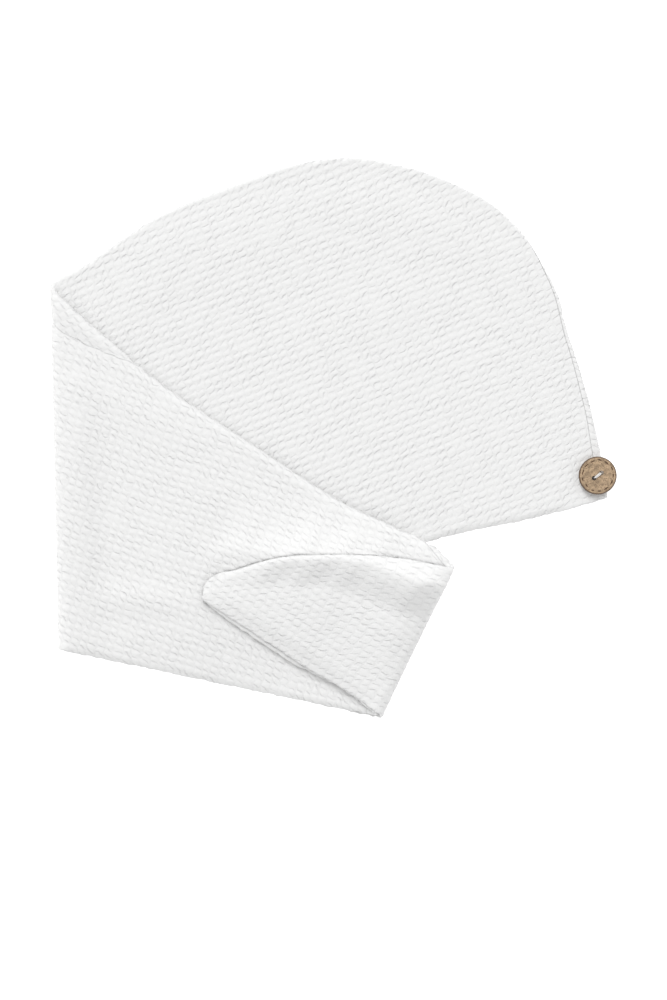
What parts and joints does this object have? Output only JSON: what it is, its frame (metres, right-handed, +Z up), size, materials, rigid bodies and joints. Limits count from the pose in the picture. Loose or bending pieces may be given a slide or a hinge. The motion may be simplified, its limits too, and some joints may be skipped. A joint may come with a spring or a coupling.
{
  "type": "hair turban towel",
  "caption": "Waffle cotton hair turban towel lying folded: panels sewn along a curved seam and open at the hem, a round wooden button at the front corner and an elastic loop in the tip.",
  "frame": {"origin": "on the surface the towel lies on, under the middle of its outline's box", "axes": "+Z up from the surface; +X to the button's side; +Y away from the open hem, towards the crown"},
  "size_m": [0.3516, 0.3494, 0.0281],
  "materials": {
    "cotton": "matt white waffle weave",
    "wood": "satin, light brown",
    "thread": "matt white cotton thread",
    "elastic": "matt white covered elastic"
  },
  "bodies": {
    "root": {"front_panel": "cotton", "back_panel": "cotton", "button": "wood", "button_thread": "thread", "button_loop": "elastic"}
  },
  "joints": []
}
